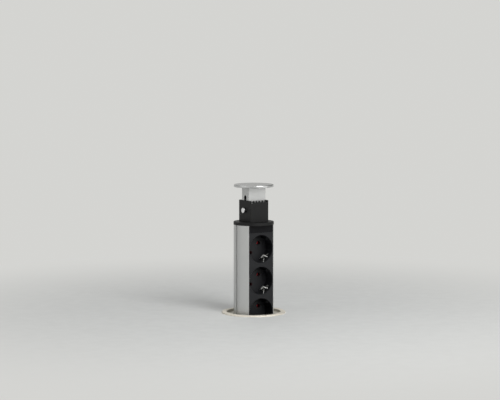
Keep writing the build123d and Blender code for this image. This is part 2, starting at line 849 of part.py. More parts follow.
def clamp_nut():
    """The hand nut that draws the sleeve down, with grip lobes round it."""
    outline = Circle(nut_radius)
    for k in range(nut_lobes):
        place = Rot(0, 0, k * 360 / nut_lobes) * Pos(nut_radius - nut_lobe_inset, 0)
        outline += place * Circle(nut_lobe_radius)
    outline -= Circle(clamp_bore)
    nut = Pos(0, 0, nut_top - nut_height) * extrude(outline, nut_height)
    lower = nut.edges().filter_by_position(Axis.Z, nut_top - nut_height, nut_top - nut_height)
    outer = [edge for edge in lower if edge.distance_to((0, 0, nut_top)) > nut_radius - nut_chamfer]
    return chamfer(outer, nut_chamfer)


def bottom_cap():
    """The stop flange under the body, with a spigot and a turret for the cable gland."""
    plate = rod(stop_radius, stop_bottom, body_bottom)
    plate = chamfer(plate.edges().sort_by(Axis.Z)[0], cap_edge)
    cap = plate + spigot(body_bottom, body_bottom + spigot_length)
    cap += rod(turret_radius, turret_bottom, stop_bottom)
    cap -= rod(turret_radius - turret_wall, turret_bottom + turret_wall, body_bottom + overrun)
    cap -= rod(gland_thread_radius + gland_clearance, turret_bottom - overrun, stop_bottom)
    for x, y in channel_places:
        cap -= rod(screw_hole_radius, stop_bottom - overrun, body_bottom + overrun, x, y)
    return cap


def tail_panel():
    """The plate below the strip, with two posts that carry the terminal block."""
    panel = front_plate(body_bottom, strip_bottom)
    post_offset = terminal_width / 2 - post_radius
    middle = (terminal_bottom + terminal_top) / 2
    depth = terminal_front + face_offset
    for side in (-1, 1):
        post = Pos(side * post_offset, 0) * Circle(post_radius)
        panel += sunk(post, middle, plate_thickness - tongue_gap, depth)
    return panel


def terminal_places():
    """Where the neutral, earth and live wires are clamped, across the block."""
    return (-pin_x, 0, pin_x)


def terminal_block():
    """The block that the rails end in, with an entry and a clamp screw for each wire."""
    outline = Pos(0, terminal_front) * Rectangle(
        terminal_width, terminal_back - terminal_front, align=(Align.CENTER, Align.MIN)
    )
    outline = outline & body_void(spigot_gap)
    body = Pos(0, 0, terminal_bottom) * extrude(outline, terminal_height)
    rail_fronts = (sleeve_back, earth_rail_front, sleeve_back)
    for x, front in zip(terminal_places(), rail_fronts):
        half = rail_width / 2 + tongue_gap
        body -= block(
            (x - half, x + half),
            (front - tongue_gap, front + rail_thickness + tongue_gap),
            (rail_bottom - tongue_gap, terminal_top + overrun),
        )
        middle = front + rail_thickness / 2
        body -= rod(terminal_entry_radius, terminal_bottom - overrun, rail_bottom, x, middle)
        body -= sunk(
            Pos(x, 0) * Circle(wire_screw_radius + tongue_gap),
            rail_bottom + rail_entry / 2, terminal_front + face_offset - overrun, front + face_offset,
        )
    return body


def terminal_screws():
    """One clamp screw for each wire, driven from the front of the block."""
    height = rail_bottom + rail_entry / 2
    near = terminal_front + face_offset
    screws = []
    for x, front in zip(terminal_places(), (sleeve_back, earth_rail_front, sleeve_back)):
        far = front + face_offset - tongue_gap
        screws.append(sunk(Pos(x, 0) * Circle(wire_screw_radius), height, near, far))
    return screws


def hexagon(across_flats):
    """A sketch of a hexagon of a given width across its flats."""
    return RegularPolygon(across_flats / 2, 6, major_radius=False)


def gland_body():
    """The gland's threaded body: hexagon below the turret, neck above and below it."""
    flange_bottom = turret_bottom - gland_flange
    body = Pos(0, 0, flange_bottom) * extrude(hexagon(gland_hex), gland_flange)
    body += rod(gland_thread_radius, turret_bottom, turret_bottom + turret_wall + gland_locknut)
    body += rod(gland_thread_radius, flange_bottom - gland_neck, flange_bottom)
    low = flange_bottom - gland_neck - overrun
    body -= rod(gland_bore_radius, low, turret_bottom + turret_height)
    body -= rod(gland_seal_radius, low, flange_bottom - gland_neck / 4)
    return body


def gland_locknut_ring():
    """The nut inside the turret that holds the gland."""
    bottom = turret_bottom + turret_wall
    outline = hexagon(gland_hex) - Circle(gland_thread_radius + gland_clearance)
    return Pos(0, 0, bottom) * extrude(outline, gland_locknut)


def gland_seal():
    """The rubber sleeve that grips the cable."""
    top = turret_bottom - gland_flange - gland_neck / 4
    bottom = turret_bottom - gland_flange - gland_neck
    return ring(gland_seal_radius, gland_bore_radius, bottom, top)


def gland_nut():
    """The domed nut that squeezes the seal."""
    top = turret_bottom - gland_flange
    bottom = top - gland_neck - gland_nut_lip
    dome = Pos(0, 0, bottom) * extrude(hexagon(gland_hex), top - bottom)
    envelope = rod(gland_hex / 2 / hexagon_share, bottom, top)
    envelope = chamfer(envelope.edges().sort_by(Axis.Z)[0], gland_nut_crown)
    nut = dome & envelope
    nut -= rod(gland_thread_radius + gland_clearance, top - gland_neck, top + overrun)
    return nut - rod(gland_bore_radius, bottom - overrun, top)


def screws_at(places, height, screw):
    """The same screw at several places."""
    return [Pos(x, y, height) * screw for x, y in places]


def save(name, *shapes):
    """Write one node, keeping each of its solids separate."""
    solids = [solid for shape in shapes for solid in shape.solids()]
    shape = solids[0] if len(solids) == 1 else Compound(solids)
    export_step(shape, f"parts/{name}.step")


save("trim_ring", trim_ring())
save("flange_gasket", flange_gasket())
save("mounting_sleeve", mounting_sleeve())
save("sleeve_screws", *sleeve_screws())
save("guide_bush", guide_bush())
save("friction_pads", *[friction_pad(angle) for angle in pad_angles])
save("thrust_washer", thrust_washer())
save("clamp_nut", clamp_nut())

save("tower_profile", tower_profile())
save("socket_strip", socket_strip())
save("tail_panel", tail_panel())
for number, height in enumerate(socket_heights, start=1):
    save(f"shutter_{number}", shutter(height))
    save(f"shutter_spring_{number}", shutter_spring(height))
    save(f"earth_bridge_{number}", earth_bridge(height))
    save(f"contact_block_{number}", contact_block(height))
save("live_rail", contact_rail(1))
save("neutral_rail", contact_rail(-1))
save("earth_rail", earth_rail())
save("terminal_block", terminal_block())
save("terminal_screws", *terminal_screws())

save("top_cap", top_cap())
save("cap_screws", *screws_at(channel_places, cap_top, flush_screw(cap_screw_length)))
save("neck_collar", neck_collar())
neck_screw_length = cap_thickness + screw_length - button_edge_radius
save("neck_screws", *screws_at(neck_screw_places(), cap_bottom, pan_screw(neck_screw_length)))
save("release_button", release_button())
save("lock_shoe", lock_shoe())
save("button_spring", button_spring())
save("lid_disc", lid_disc())
save("lid_column", lid_column())
save("lid_plug", lid_plug())
save("lid_screws", *lid_screws())

save("bottom_cap", bottom_cap())
save("bottom_screws", *screws_at(channel_places, stop_bottom, pan_screw(cap_screw_length)))
save("gland_body", gland_body())
save("gland_locknut", gland_locknut_ring())
save("gland_seal", gland_seal())
save("gland_nut", gland_nut())
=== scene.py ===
import math

import bpy
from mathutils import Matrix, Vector
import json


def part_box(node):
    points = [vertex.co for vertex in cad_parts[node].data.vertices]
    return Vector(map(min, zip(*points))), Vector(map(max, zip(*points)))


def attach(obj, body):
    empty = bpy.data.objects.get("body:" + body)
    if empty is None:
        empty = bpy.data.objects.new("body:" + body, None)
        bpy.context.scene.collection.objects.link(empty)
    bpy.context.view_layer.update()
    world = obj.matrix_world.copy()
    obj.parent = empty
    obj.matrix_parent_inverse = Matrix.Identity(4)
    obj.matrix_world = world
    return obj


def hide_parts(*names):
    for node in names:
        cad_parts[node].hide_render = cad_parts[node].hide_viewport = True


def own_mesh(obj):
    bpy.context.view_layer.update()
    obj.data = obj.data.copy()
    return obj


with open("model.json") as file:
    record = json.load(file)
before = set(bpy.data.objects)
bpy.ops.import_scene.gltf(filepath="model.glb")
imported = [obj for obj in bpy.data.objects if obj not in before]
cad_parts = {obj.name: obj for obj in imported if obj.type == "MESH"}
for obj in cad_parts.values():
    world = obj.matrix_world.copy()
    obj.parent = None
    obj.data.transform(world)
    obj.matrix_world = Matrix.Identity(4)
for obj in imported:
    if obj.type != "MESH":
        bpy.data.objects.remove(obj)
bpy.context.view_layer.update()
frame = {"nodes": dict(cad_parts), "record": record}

# %% [markdown]
# # A pop up desk socket
# The tower slides up through a trim ring in a worktop. Its solids come from the CAD frame, in
# metres, with the origin in the middle of the ring's underside. Blender leaves those solids where
# they are and adds what CAD leaves out: the finishes, the fine detail, the light and the camera.

# %% Units and the pieces of the frame
mm = 0.001
nodes = frame["nodes"]


def top_of(node):
    """Height of a piece's top."""
    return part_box(node)[1].z


def bottom_of(node):
    """Height of a piece's underside."""
    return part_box(node)[0].z


# %% [markdown]
# ## Where the camera stood
# The photograph looks at the tower from the left of its flat front and slightly from above, with
# a long lens, so upright edges stay almost parallel. The camera is set by the point it looks at
# and by two angles, which is easier to correct against a photograph than three coordinates and a
# rotation.

# %% Camera
camera_azimuth = math.radians(-33.3)
camera_elevation = math.radians(5.1)
camera_distance = 2.547
camera_aim = Vector((-4.35 * mm, 2.85 * mm, 160.5 * mm))
sensor_width = 36.0
lens_length = 129.6


def outward(azimuth, elevation):
    """A direction from the object: azimuth 0 is out of the flat face, -90 the button's side."""
    level = math.cos(elevation)
    return Vector((math.sin(azimuth) * level, -math.cos(azimuth) * level, math.sin(elevation)))


camera_data = bpy.data.cameras.new("camera")
camera_data.sensor_width = sensor_width
camera_data.lens = lens_length
camera = bpy.data.objects.new("camera", camera_data)
bpy.context.scene.collection.objects.link(camera)
back = outward(camera_azimuth, camera_elevation)
camera.location = camera_aim + back * camera_distance
camera.rotation_mode = "QUATERNION"
camera.rotation_quaternion = (-back).to_track_quat("-Z", "Y")
bpy.context.scene.camera = camera
print("Camera at", [round(c, 3) for c in camera.location])

# %% [markdown]
# ## Soft studio light
# The highlight on the lid's rim sits to the right of the middle, so the main light stands there,
# in front of the flat face and above it. A wide, weaker panel on the left keeps the side faces
# readable, and a faint one on the right is what the front of the lid's column mirrors. Large area
# lamps are used because a small lamp would leave hard, bright points on satin metal.

# %% Lamps
light_aim = Vector((0, 0, 120 * mm))


def softbox(name, azimuth, elevation, distance, width, height, power):
    """A rectangular lamp that faces the tower."""
    data = bpy.data.lights.new(name, "AREA")
    data.shape = "RECTANGLE"
    data.size = width
    data.size_y = height
    data.energy = power
    lamp = bpy.data.objects.new(name, data)
    bpy.context.scene.collection.objects.link(lamp)
    towards = outward(math.radians(azimuth), math.radians(elevation))
    lamp.location = light_aim + towards * distance
    lamp.rotation_mode = "QUATERNION"
    lamp.rotation_quaternion = towards.to_track_quat("Z", "Y")
    return lamp


key_light = softbox("key_light", azimuth=2, elevation=32, distance=1.6,
                    width=0.8, height=1.0, power=17.0)
fill_light = softbox("fill_light", azimuth=-100, elevation=25, distance=1.9,
                     width=1.2, height=1.2, power=3.3)
front_panel = softbox("front_panel", azimuth=35, elevation=6, distance=2.0,
                      width=1.2, height=1.4, power=4.4)
print("Lamps:", key_light.name, fill_light.name, front_panel.name)

# %% [markdown]
# ## The backdrop
# A plain colour is all the room there is. The camera sees it pale, and so does anything glossy,
# while matt surfaces are lit by a dimmer grey, so that black plastic stays black. The Light Path
# node tells these kinds of ray apart. Metal looks flat when all that it mirrors is one colour. So
# for every ray but the camera's, three wide parts of the room are darker: one in front of the
# lid's rim, one on the right and one behind on the left. A part behind the tower is brighter, for
# the lid's top. They are soft caps on a sphere, worked out from the angle between a ray and the
# middle of the cap.

# %% World
backdrop_colour = (0.66, 0.66, 0.64, 1)
ambient_colour = (0.55, 0.55, 0.55, 1)
world = bpy.data.worlds.new("studio")
bpy.context.scene.world = world
world.use_nodes = True
world_tree = world.node_tree
world_nodes = world_tree.nodes
world_links = world_tree.links
world_nodes.clear()
direction = world_nodes.new("ShaderNodeTexCoord")


def combined(tree, operation, first, second):
    """Two values taken together, kept between 0 and 1 only where they are added."""
    both = tree.nodes.new("ShaderNodeMath")
    both.operation = operation
    both.use_clamp = operation == "ADD"
    tree.links.new(first, both.inputs[0])
    tree.links.new(second, both.inputs[1])
    return both.outputs["Value"]


def sees_backdrop(tree):
    """1 for a ray from the camera, and for one that a glossy or clear surface sends on."""
    ray = tree.nodes.new("ShaderNodeLightPath")
    sent_on = combined(tree, "ADD", ray.outputs["Is Glossy Ray"], ray.outputs["Is Transmission Ray"])
    return combined(tree, "ADD", ray.outputs["Is Camera Ray"], sent_on)


def soft_cap(azimuth, elevation, inner, outer, strength):
    """The room's strength round one direction: as given inside the inner angle, 1 past the outer one."""
    middle = outward(math.radians(azimuth), math.radians(elevation))
    closeness = world_nodes.new("ShaderNodeVectorMath")
    closeness.operation = "DOT_PRODUCT"
    closeness.inputs[1].default_value = middle
    level = world_nodes.new("ShaderNodeMapRange")
    level.interpolation_type = "SMOOTHSTEP"
    level.inputs["From Min"].default_value = math.cos(math.radians(outer))
    level.inputs["From Max"].default_value = math.cos(math.radians(inner))
    level.inputs["To Min"].default_value = 1
    level.inputs["To Max"].default_value = strength
    world_links.new(direction.outputs["Generated"], closeness.inputs[0])
    world_links.new(closeness.outputs["Value"], level.inputs["Value"])
    return level.outputs["Result"]


room_strength = soft_cap(azimuth=147, elevation=6, inner=8, outer=26, strength=1.15)
dark_front = {"azimuth": -34, "elevation": 0, "inner": 6, "outer": 30, "strength": 0.35}
dark_right = {"azimuth": 95, "elevation": 5, "inner": 25, "outer": 70, "strength": 0.3}
dark_behind = {"azimuth": -155, "elevation": 0, "inner": 15, "outer": 60, "strength": 0.6}
for dark_place in (dark_front, dark_right, dark_behind):
    room_strength = combined(world_tree, "MULTIPLY", room_strength, soft_cap(**dark_place))
seen_strength = world_nodes.new("ShaderNodeMix")
camera_ray = world_nodes.new("ShaderNodeLightPath")
world_links.new(camera_ray.outputs["Is Camera Ray"], seen_strength.inputs["Factor"])
world_links.new(room_strength, seen_strength.inputs["A"])
seen_strength.inputs["B"].default_value = 1
seen = world_nodes.new("ShaderNodeBackground")
seen.inputs["Color"].default_value = backdrop_colour
world_links.new(seen_strength.outputs["Result"], seen.inputs["Strength"])
lit = world_nodes.new("ShaderNodeBackground")
lit.inputs["Color"].default_value = ambient_colour
world_links.new(room_strength, lit.inputs["Strength"])
choice = world_nodes.new("ShaderNodeMixShader")
world_output = world_nodes.new("ShaderNodeOutputWorld")
world_links.new(sees_backdrop(world_tree), choice.inputs["Fac"])
world_links.new(lit.outputs["Background"], choice.inputs[1])
world_links.new(seen.outputs["Background"], choice.inputs[2])
world_links.new(choice.outputs["Shader"], world_output.inputs["Surface"])
bpy.context.scene.view_settings.view_transform = "Standard"
print("World:", world.name)

# %% [markdown]
# ## How the finishes are built
# Every finish starts from one shader with a little slow variation in its colour, because no real
# surface has one flat colour. A second, much finer texture changes the roughness and lifts the
# surface by some micrometres. That fine texture is what tells drawn aluminium, turned metal and
# spark-eroded plastic apart. It is worked out from each piece's own coordinates, in metres, so
# that it moves with the piece.

# %% Shared parts of a finish
cloud_scale = 60
cloud_detail = 3
metal_drift = 0.03


def new_finish(name, colour, metallic, roughness, drift=0.06):
    """A material with slow colour variation, and with it its nodes, its links and its shader."""
    material = bpy.data.materials.new(name)
    material.use_nodes = True
    tree = material.node_tree
    shader = tree.nodes["Principled BSDF"]
    shader.inputs["Metallic"].default_value = metallic
    shader.inputs["Roughness"].default_value = roughness
    place = tree.nodes.new("ShaderNodeTexCoord")
    cloud = tree.nodes.new("ShaderNodeTexNoise")
    cloud.inputs["Scale"].default_value = cloud_scale
    cloud.inputs["Detail"].default_value = cloud_detail
    tree.links.new(place.outputs["Object"], cloud.inputs["Vector"])
    tint = tree.nodes.new("ShaderNodeMix")
    tint.data_type = "RGBA"
    tint.inputs["A"].default_value = (*[c * (1 - drift) for c in colour], 1)
    tint.inputs["B"].default_value = (*[min(1, c * (1 + drift)) for c in colour], 1)
    tree.links.new(cloud.outputs["Fac"], tint.inputs["Factor"])
    tree.links.new(tint.outputs["Result"], shader.inputs["Base Color"])
    return material, tree.nodes, tree.links, shader


def add_grain(tree_nodes, links, shader, fine, roughness, spread, height):
    """Lets a fine texture change the roughness and lift the surface by a height in metres."""
    level = tree_nodes.new("ShaderNodeMapRange")
    level.inputs["To Min"].default_value = max(0, roughness - spread)
    level.inputs["To Max"].default_value = roughness + spread
    links.new(fine, level.inputs["Value"])
    links.new(level.outputs["Result"], shader.inputs["Roughness"])
    bump = tree_nodes.new("ShaderNodeBump")
    bump.inputs["Strength"].default_value = 1
    bump.inputs["Distance"].default_value = height
    links.new(fine, bump.inputs["Height"])
    links.new(bump.outputs["Normal"], shader.inputs["Normal"])


print("A cloud is about", round(1 / cloud_scale / mm), "mm across")

# %% Drawn metal
drawn_scale = (2500, 2500, 12)
drawn_detail = 4
drawn_spread = 0.1


def drawn_finish(name, colour, metallic, roughness, height=1.5e-6):
    """Extruded metal: fine lines along Z, from the die."""
    material, tree_nodes, links, shader = new_finish(name, colour, metallic, roughness, metal_drift)
    place = tree_nodes.new("ShaderNodeTexCoord")
    stretch = tree_nodes.new("ShaderNodeMapping")
    stretch.inputs["Scale"].default_value = drawn_scale
    lines = tree_nodes.new("ShaderNodeTexNoise")
    lines.inputs["Scale"].default_value = 1
    lines.inputs["Detail"].default_value = drawn_detail
    links.new(place.outputs["Object"], stretch.inputs["Vector"])
    links.new(stretch.outputs["Vector"], lines.inputs["Vector"])
    add_grain(tree_nodes, links, shader, lines.outputs["Fac"], roughness, drawn_spread, height)
    return material


print("Drawn lines lie", round(1 / drawn_scale[0] / mm, 1), "mm apart")

# %% Turned metal
turned_scale = 3500
turned_detail = 3
turned_spread = 0.08


def turned_finish(name, colour, metallic, roughness, height=1.5e-6):
    """Turned metal: fine rings round the Z axis, from the lathe."""
    material, tree_nodes, links, shader = new_finish(name, colour, metallic, roughness, metal_drift)
    place = tree_nodes.new("ShaderNodeTexCoord")
    flatten = tree_nodes.new("ShaderNodeVectorMath")
    flatten.operation = "MULTIPLY"
    flatten.inputs[1].default_value = (1, 1, 0)
    radius = tree_nodes.new("ShaderNodeVectorMath")
    radius.operation = "LENGTH"
    rings = tree_nodes.new("ShaderNodeTexNoise")
    rings.noise_dimensions = "1D"
    rings.inputs["Scale"].default_value = turned_scale
    rings.inputs["Detail"].default_value = turned_detail
    links.new(place.outputs["Object"], flatten.inputs[0])
    links.new(flatten.outputs["Vector"], radius.inputs[0])
    links.new(radius.outputs["Value"], rings.inputs["W"])
    add_grain(tree_nodes, links, shader, rings.outputs["Fac"], roughness, turned_spread, height)
    return material


print("Turned rings lie", round(1 / turned_scale / mm, 1), "mm apart")

# %% Moulded plastic, rubber and small metal parts
speckle_detail = 2


def grained_finish(name, colour, metallic, roughness, grain, height, spread=0.08, shine=0.5):
    """A surface with an even, fine texture whose grain is given in metres."""
    material, tree_nodes, links, shader = new_finish(name, colour, metallic, roughness)
    shader.inputs["Specular IOR Level"].default_value = shine
    place = tree_nodes.new("ShaderNodeTexCoord")
    speckle = tree_nodes.new("ShaderNodeTexNoise")
    speckle.inputs["Scale"].default_value = 1 / grain
    speckle.inputs["Detail"].default_value = speckle_detail
    links.new(place.outputs["Object"], speckle.inputs["Vector"])
    add_grain(tree_nodes, links, shader, speckle.outputs["Fac"], roughness, spread, height)
    return material


print("Ways to make a finish: drawn, turned and grained")

# %% [markdown]
# ## The finishes themselves
# The body is drawn aluminium with a clear satin anodising. The lid and the ring are turned, and
# the ring is a warmer metal. The strip, cap and collar are black plastic from a spark-eroded
# mould, the safety shutters are red, and the earth clips are bright nickel. Each finish takes the
# name of its slot in the part's record.

# %% One finish for each material slot
plastic_shine = 0.28
finishes = {
    "body_aluminium": drawn_finish("body_aluminium", (0.55, 0.555, 0.55), 0.8, 0.4),
    "lid_metal": turned_finish("lid_metal", (0.584, 0.589, 0.589), 0.9, 0.26),
    "ring_metal": turned_finish("ring_metal", (0.776, 0.73, 0.638), 0.4, 0.5),
    "black_plastic": grained_finish(
        "black_plastic", (0.005, 0.005, 0.005), 0, 0.5, 0.35 * mm, 9e-6, shine=plastic_shine),
    "strip_plastic": grained_finish(
        "strip_plastic", (0.007, 0.0075, 0.009), 0, 0.46, 0.3 * mm, 7e-6, shine=plastic_shine),
    "red_plastic": grained_finish("red_plastic", (0.55, 0.03, 0.04), 0, 0.38, 0.5 * mm, 3e-6),
    "contact_brass": grained_finish("contact_brass", (0.78, 0.6, 0.28), 1, 0.3, 0.4 * mm, 2e-6),
    "clip_metal": drawn_finish("clip_metal", (0.86, 0.86, 0.83), 0.55, 0.36, 1e-6),
    "button_chrome": grained_finish(
        "button_chrome", (0.82, 0.82, 0.83), 1, 0.1, 1.5 * mm, 1e-6, spread=0.03),
    "rubber": grained_finish("rubber", (0.03, 0.03, 0.03), 0, 0.8, 0.25 * mm, 25e-6, spread=0.05),
    "grey_plastic": grained_finish("grey_plastic", (0.2, 0.2, 0.2), 0, 0.5, 0.35 * mm, 8e-6),
    "white_plastic": grained_finish("white_plastic", (0.62, 0.61, 0.57), 0, 0.45, 0.4 * mm, 5e-6),
    "screw_steel": grained_finish("screw_steel", (0.6, 0.6, 0.58), 1, 0.3, 0.3 * mm, 3e-6),
    "black_screws": grained_finish("black_screws", (0.04, 0.04, 0.04), 0.7, 0.4, 0.3 * mm, 3e-6),
}
print(len(finishes), "finishes")

# %% [markdown]
# ## Dressing the CAD pieces
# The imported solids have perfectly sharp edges, and real ones never do: a broken edge catches a
# thin line of light. A bevel that only acts on sharp angles rounds those edges by a fraction of a
# millimetre. It is a modifier, so the solid under it keeps its own points.

# %% Finish and edge of every CAD piece
record_slots = {part["node"]: part["material_slot"] for part in frame["record"]["subparts"]}
edge_radius = 0.15 * mm
fine_edge_radius = 0.05 * mm
edge_segments = 2
sharp_angle = math.radians(38)
fine_nodes = ("neck_screws", "lid_screws", "cap_screws", "sleeve_screws", "bottom_screws")


def dress(node, piece):
    """Gives a CAD piece its finish and softens its sharp edges."""
    slot_name = record_slots[node]
    piece.data.materials.clear()
    piece.data.materials.append(finishes[slot_name])
    edge = piece.modifiers.new("broken_edge", "BEVEL")
    edge.width = fine_edge_radius if node in fine_nodes else edge_radius
    edge.segments = edge_segments
    edge.limit_method = "ANGLE"
    edge.angle_limit = sharp_angle
    edge.use_clamp_overlap = True
    edge.harden_normals = True


for node_name, node_piece in nodes.items():
    dress(node_name, node_piece)
print("Dressed", len(nodes), "pieces")

# %% [markdown]
# ## The header panel
# The blank panel between the cap and the first socket is smoother than the rest of the cap, so it
# looks darker and shows a soft sheen. It is one moulding with the cap, so only its front faces
# get the smoother finish.

# %% Smooth header
header_finish = grained_finish(
    "header_gloss", (0.006, 0.006, 0.007), 0, 0.4, 0.6 * mm, 2e-6, spread=0.05, shine=0.1)
strip_top = top_of("socket_strip")
flange_bottom = top_of("tower_profile")
header_reach = 1.0 * mm
header_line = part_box("socket_strip")[0].y + header_reach
front_facing = -0.99
cap_piece = nodes["top_cap"]
cap_piece.data.materials.append(header_finish)
header_faces = 0
for face in cap_piece.data.polygons:
    in_height = strip_top < face.center.z < flange_bottom
    if in_height and face.normal.y < front_facing and face.center.y < header_line:
        face.material_index = 1
        header_faces += 1
print(header_faces, "header faces")

# %% [markdown]
# ## The recess of the ring
# Inside its mouth the ring drops to a shelf, which the tower shades. That recess gets a darker colour than
# the turned face, as painted shade. It is the same solid, so the faces inside the mouth get the darker,
# painted-shade finish.

# %% Painted shade in the recess
# The recess colour is darker than the ring's own metal: painted shade for the shelf that the tower shades.
recess_painted_shade_finish = turned_finish("ring_recess_painted_shade", (0.52, 0.5, 0.44), 0.5, 0.5)
ring_piece = nodes["trim_ring"]
ring_piece.data.materials.append(recess_painted_shade_finish)
mouth_radius = 38.5 * mm
recess_depth = 0.5 * mm
ring_top = top_of("trim_ring")
painted_shade_faces = 0
for face in ring_piece.data.polygons:
    away = math.hypot(face.center.x, face.center.y)
    if away < mouth_radius and face.center.z < ring_top - recess_depth:
        face.material_index = 1
        painted_shade_faces += 1
print(painted_shade_faces, "recess faces")

# %% [markdown]
# ## The threaded sleeve
# Under the worktop a nut climbs a thread on the sleeve. A thread is a groove that climbs by one
# pitch in each turn, so the sleeve's radius depends on the height and the angle together. It is
# worked out point by point over a grid, which needs no cutting and always closes.

# %% Sleeve thread
thread_pitch = 3.0 * mm
thread_depth = 0.9 * mm
sleeve_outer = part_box("mounting_sleeve")[1].x
sleeve_wall = 2.5 * mm
sleeve_low = bottom_of("mounting_sleeve")
sleeve_high = top_of("mounting_sleeve")
around = 96
rows_per_pitch = 8
plain_neck = 3.0 * mm


def mesh_object(name, points, faces):
    """A mesh object from points and faces, with its sides shaded smooth."""
    mesh = bpy.data.meshes.new(name)
    mesh.from_pydata(points, [], faces)
    mesh.validate()
    mesh.polygons.foreach_set("use_smooth", [True] * len(mesh.polygons))
    piece = bpy.data.objects.new(name, mesh)
    bpy.context.scene.collection.objects.link(piece)
    return piece


def thread_radius(height, turn):
    """Radius of the thread's surface: a rounded V that follows the pitch and fades out at both ends."""
    phase = (height / thread_pitch - turn) % 1
    rising = (height - sleeve_low) / plain_neck
    falling = max(0, sleeve_high - plain_neck - height) / plain_neck
    fade = min(1, rising, falling)
    groove = 0.5 + 0.5 * math.cos(2 * math.pi * phase)
    return sleeve_outer - thread_depth * groove * max(0, fade)


def on_circle(radius, turn, height):
    """A point on a circle round the Z axis."""
    angle = 2 * math.pi * turn
    return (radius * math.cos(angle), radius * math.sin(angle), height)


def threaded_tube(name):
    """The tube's threaded outside, plain inside and two flat ends."""
    count = round((sleeve_high - sleeve_low) / thread_pitch * rows_per_pitch)
    heights = [sleeve_low + (sleeve_high - sleeve_low) * k / count for k in range(count + 1)]
    inner = sleeve_outer - sleeve_wall
    turns = [k / around for k in range(around)]
    rows = [[on_circle(thread_radius(z, turn), turn, z) for turn in turns] for z in heights]
    rows += [[on_circle(inner, turn, z) for turn in turns] for z in (sleeve_high, sleeve_low)]
    points = [point for row in rows for point in row]
    faces = []
    for row in range(len(rows)):
        following = (row + 1) % len(rows)
        for k in range(around):
            beside = (k + 1) % around
            faces.append((row * around + k, row * around + beside,
                          following * around + beside, following * around + k))
    return mesh_object(name, points, faces)


def flat_shape(name, circles, bottom, thickness):
    """A flat plate whose outline and holes are circles: a radius, a centre and a count of points."""
    curve = bpy.data.curves.new(name, "CURVE")
    curve.dimensions = "2D"
    curve.fill_mode = "BOTH"
    curve.extrude = thickness / 2
    for radius, x, y, count in circles:
        line = curve.splines.new("POLY")
        line.points.add(count - 1)
        line.use_cyclic_u = True
        for k in range(count):
            angle = 2 * math.pi * k / count
            line.points[k].co = (x + radius * math.cos(angle), y + radius * math.sin(angle), 0, 1)
    holder = bpy.data.objects.new(name + "_outline", curve)
    bpy.context.scene.collection.objects.link(holder)
    bpy.context.view_layer.update()
    filled = holder.evaluated_get(bpy.context.evaluated_depsgraph_get())
    mesh = bpy.data.meshes.new_from_object(filled)
    bpy.data.objects.remove(holder)
    mesh.name = name
    plate = bpy.data.objects.new(name, mesh)
    plate.location.z = bottom + thickness / 2
    bpy.context.scene.collection.objects.link(plate)
    return plate


sleeve_tube = threaded_tube("sleeve_tube")
sleeve_tube.data.materials.append(finishes["grey_plastic"])
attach(sleeve_tube, "mount")
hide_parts("mounting_sleeve")
thread_turns = round((sleeve_high - sleeve_low) / thread_pitch)
print("Thread:", thread_turns, "turns,", len(sleeve_tube.data.polygons), "faces")

# %% [markdown]
# ## The seat inside the sleeve
# Three screws pass up through a narrow seat and hold the sleeve to the ring. The seat is a flat
# washer with three holes, so it is drawn as circles and given a thickness.

# %% Sleeve seat
seat_inner = 30.2 * mm
seat_thickness = 2.0 * mm
screw_head = 1.8 * mm
seat_bottom = bottom_of("sleeve_screws") + screw_head
screw_circle = (seat_inner + sleeve_outer - sleeve_wall) / 2
screw_hole = 1.6 * mm
screw_hole_points = 24
screw_angles = (30, 150, 270)
seat_circles = [(sleeve_outer - sleeve_wall / 2, 0, 0, around), (seat_inner, 0, 0, around)]
for degrees in screw_angles:
    angle = math.radians(degrees)
    hole_x, hole_y = screw_circle * math.cos(angle), screw_circle * math.sin(angle)
    seat_circles.append((screw_hole, hole_x, hole_y, screw_hole_points))
sleeve_seat = flat_shape("sleeve_seat", seat_circles, seat_bottom, seat_thickness)
sleeve_seat.data.materials.append(finishes["grey_plastic"])
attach(sleeve_seat, "mount")
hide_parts("mounting_sleeve")
print("Seat at", round(seat_bottom / mm, 2), "mm")

# %% [markdown]
# ## Earth clip springs
# Each earth clip ends in a leaf of bright sheet that bulges into the well, so that it presses on
# the side of a plug. A wing beside it leads the plug in, and a tab runs along the wall towards
# the rim. The solids hold the clip's frame, which sits deep in the well, where shade falls; its
# dark grey colour is painted shade. All three are bent strips, so they are worked out as two edges
# in a well's own terms, the angle round its axis, the distance from it and the depth behind the
# face, and then given a thickness.

# %% Clip frames and the way to make a strip
# The frame's dark grey is painted shade for metal that sits deep in the well.
painted_shade_frame_finish = drawn_finish("clip_frame_painted_shade", (0.2, 0.2, 0.19), 0.5, 0.5, 1e-6)
for clip_number in (1, 2, 3):
    nodes[f"earth_bridge_{clip_number}"].data.materials[0] = painted_shade_frame_finish
face_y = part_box("socket_strip")[0].y
clip_sheet = 0.35 * mm
strip_steps = 12


def well_point(height, turn, radius, depth):
    """A point in the well at a height, by its angle round the axis, its distance from it and its depth."""
    return Vector((radius * math.cos(turn), face_y + depth, height + radius * math.sin(turn)))


def away_from_axis(turn):
    """The direction away from a well's axis at an angle round it."""
    return Vector((math.cos(turn), 0, math.sin(turn)))


def strip_piece(name, edges):
    """A bent strip from rows of two edge points and the offset that gives the sheet its thickness."""
    points, faces = [], []
    for left, right, offset in edges:
        points += [left, right, left + offset, right + offset]
    for row in range(len(edges) - 1):
        low, high = 4 * row, 4 * (row + 1)
        faces += [(low, high, high + 1, low + 1), (low + 2, low + 3, high + 3, high + 2),
                  (low, low + 2, high + 2, high), (low + 1, high + 1, high + 3, low + 3)]
    last = 4 * (len(edges) - 1)
    faces += [(0, 1, 3, 2), (last, last + 2, last + 3, last + 1)]
    piece = mesh_object(name, points, faces)
    piece.data.materials.append(finishes["clip_metal"])
    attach(piece, "tower")
    return piece


def strip_shares():
    """Steps along a strip, from 0 to 1."""
    return [step / strip_steps for step in range(strip_steps + 1)]


def between(first, last, share):
    """The value at a share of the way from the first to the last."""
    return first + (last - first) * share


print("Clip sheet", round(clip_sheet / mm, 2), "mm")

